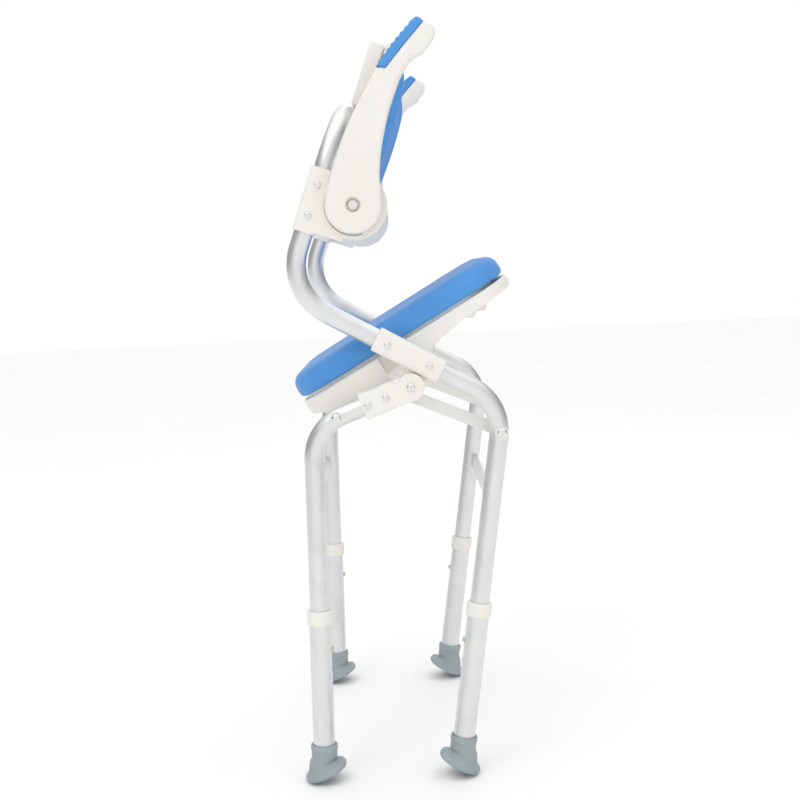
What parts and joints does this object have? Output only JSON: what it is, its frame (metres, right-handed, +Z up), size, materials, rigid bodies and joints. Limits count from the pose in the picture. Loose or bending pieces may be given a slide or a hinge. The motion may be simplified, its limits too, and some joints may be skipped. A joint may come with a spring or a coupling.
{
  "type": "folding shower chair",
  "caption": "Folding shower chair, drawn folded, with padded seat and backrest, swing-up armrests, scissor frame and telescopic legs.",
  "frame": {"origin": "on the floor under the middle of the folded chair", "axes": "+X the way the user faces, +Y to the left of the user, +Z up"},
  "size_m": [0.3018, 0.522, 0.9897],
  "materials": {
    "satin_tube": "satin anodised tube",
    "white_plastic": "fine-grained ivory white moulding",
    "blue_foam": "blue closed-cell foam, moulded skin",
    "grey_rubber": "soft grey rubber",
    "screw_steel": "stainless fasteners",
    "button_metal": "plated spring buttons",
    "white_link": "white coated flat bar"
  },
  "bodies": {
    "front_frame": {"back_loop": "satin_tube", "side_tube_left": "satin_tube", "side_tube_right": "satin_tube", "splice_tubes": "satin_tube", "armrest_bracket_left": "white_plastic", "armrest_bracket_right": "white_plastic", "backrest_shell": "white_plastic", "backrest_pad": "blue_foam", "backrest_saddles": "white_plastic", "backrest_screws": "screw_steel", "front_clamp_left": "white_plastic", "front_clamp_right": "white_plastic", "frame_screws": "screw_steel", "scissor_bolts": "screw_steel", "scissor_nuts": "screw_steel", "link_bolts": "screw_steel", "link_nuts": "screw_steel", "link_washers": "screw_steel", "link_spacers": "white_plastic", "front_cross_bar": "satin_tube", "armrest_bolts": "screw_steel", "armrest_nuts": "screw_steel", "armrest_washers": "white_plastic"},
    "rear_frame": {"rear_tube_left": "satin_tube", "rear_tube_right": "satin_tube", "rear_bracket_left": "white_plastic", "rear_bracket_right": "white_plastic", "rear_bracket_screws": "screw_steel", "rear_cross_bar": "satin_tube", "seat_bolts": "screw_steel", "seat_nuts": "screw_steel", "seat_washers": "screw_steel", "seat_spacers": "white_plastic"},
    "seat": {"seat_shell": "white_plastic", "seat_pad": "blue_foam", "link_pins": "screw_steel"},
    "links": {"link_bar_left": "white_link", "link_bar_right": "white_link"},
    "armrest_left": {"armrest_left": "white_plastic", "armrest_pad_left": "blue_foam"},
    "armrest_right": {"armrest_right": "white_plastic", "armrest_pad_right": "blue_foam"},
    "front_leg_left": {"lower_leg_front_left": "satin_tube", "collar_front_left": "white_plastic", "snap_button_front_left": "button_metal", "foot_front_left": "grey_rubber"},
    "front_leg_right": {"lower_leg_front_right": "satin_tube", "collar_front_right": "white_plastic", "snap_button_front_right": "button_metal", "foot_front_right": "grey_rubber"},
    "rear_leg_left": {"lower_leg_rear_left": "satin_tube", "collar_rear_left": "white_plastic", "snap_button_rear_left": "button_metal", "foot_rear_left": "grey_rubber"},
    "rear_leg_right": {"lower_leg_rear_right": "satin_tube", "collar_rear_right": "white_plastic", "snap_button_rear_right": "button_metal", "foot_rear_right": "grey_rubber"}
  },
  "joints": [
    {"name": "fold", "type": "hinge", "parent": "front_frame", "child": "rear_frame", "pos_m": [0.01164, 0, 0.51943], "axis": [0, 1, 0], "range_deg": [0, 50]},
    {"name": "seat_tilt", "type": "hinge", "parent": "rear_frame", "child": "seat", "pos_m": [-0.08577, 0, 0.48301], "axis": [0, 1, 0], "range_deg": [0, 9.83]},
    {"name": "link_swing", "type": "hinge", "parent": "front_frame", "child": "links", "pos_m": [0.12627, 0, 0.45458], "axis": [0, 1, 0], "range_deg": [0, 5.85]},
    {"name": "armrest_left_turn", "type": "hinge", "parent": "front_frame", "child": "armrest_left", "pos_m": [-0.05038, 0, 0.75295], "axis": [0, 1, 0], "range_deg": [0, 94.8]},
    {"name": "armrest_right_turn", "type": "hinge", "parent": "front_frame", "child": "armrest_right", "pos_m": [-0.05038, 0, 0.75295], "axis": [0, 1, 0], "range_deg": [0, 94.8]},
    {"name": "front_leg_left_length", "type": "slide", "parent": "front_frame", "child": "front_leg_left", "axis": [-0.153, 0, -0.9882], "range_m": [0, 0.1016]},
    {"name": "front_leg_right_length", "type": "slide", "parent": "front_frame", "child": "front_leg_right", "axis": [-0.153, 0, -0.9882], "range_m": [0, 0.1016]},
    {"name": "rear_leg_left_length", "type": "slide", "parent": "rear_frame", "child": "rear_leg_left", "axis": [-0.0175, 0, -0.9998], "range_m": [0, 0.1016]},
    {"name": "rear_leg_right_length", "type": "slide", "parent": "rear_frame", "child": "rear_leg_right", "axis": [-0.0175, 0, -0.9998], "range_m": [0, 0.1016]}
  ],
  "couplings": [
    {"joint": "seat_tilt", "follows": "fold", "ratio": 0.19646},
    {"joint": "link_swing", "follows": "fold", "ratio": 0.11684}
  ]
}
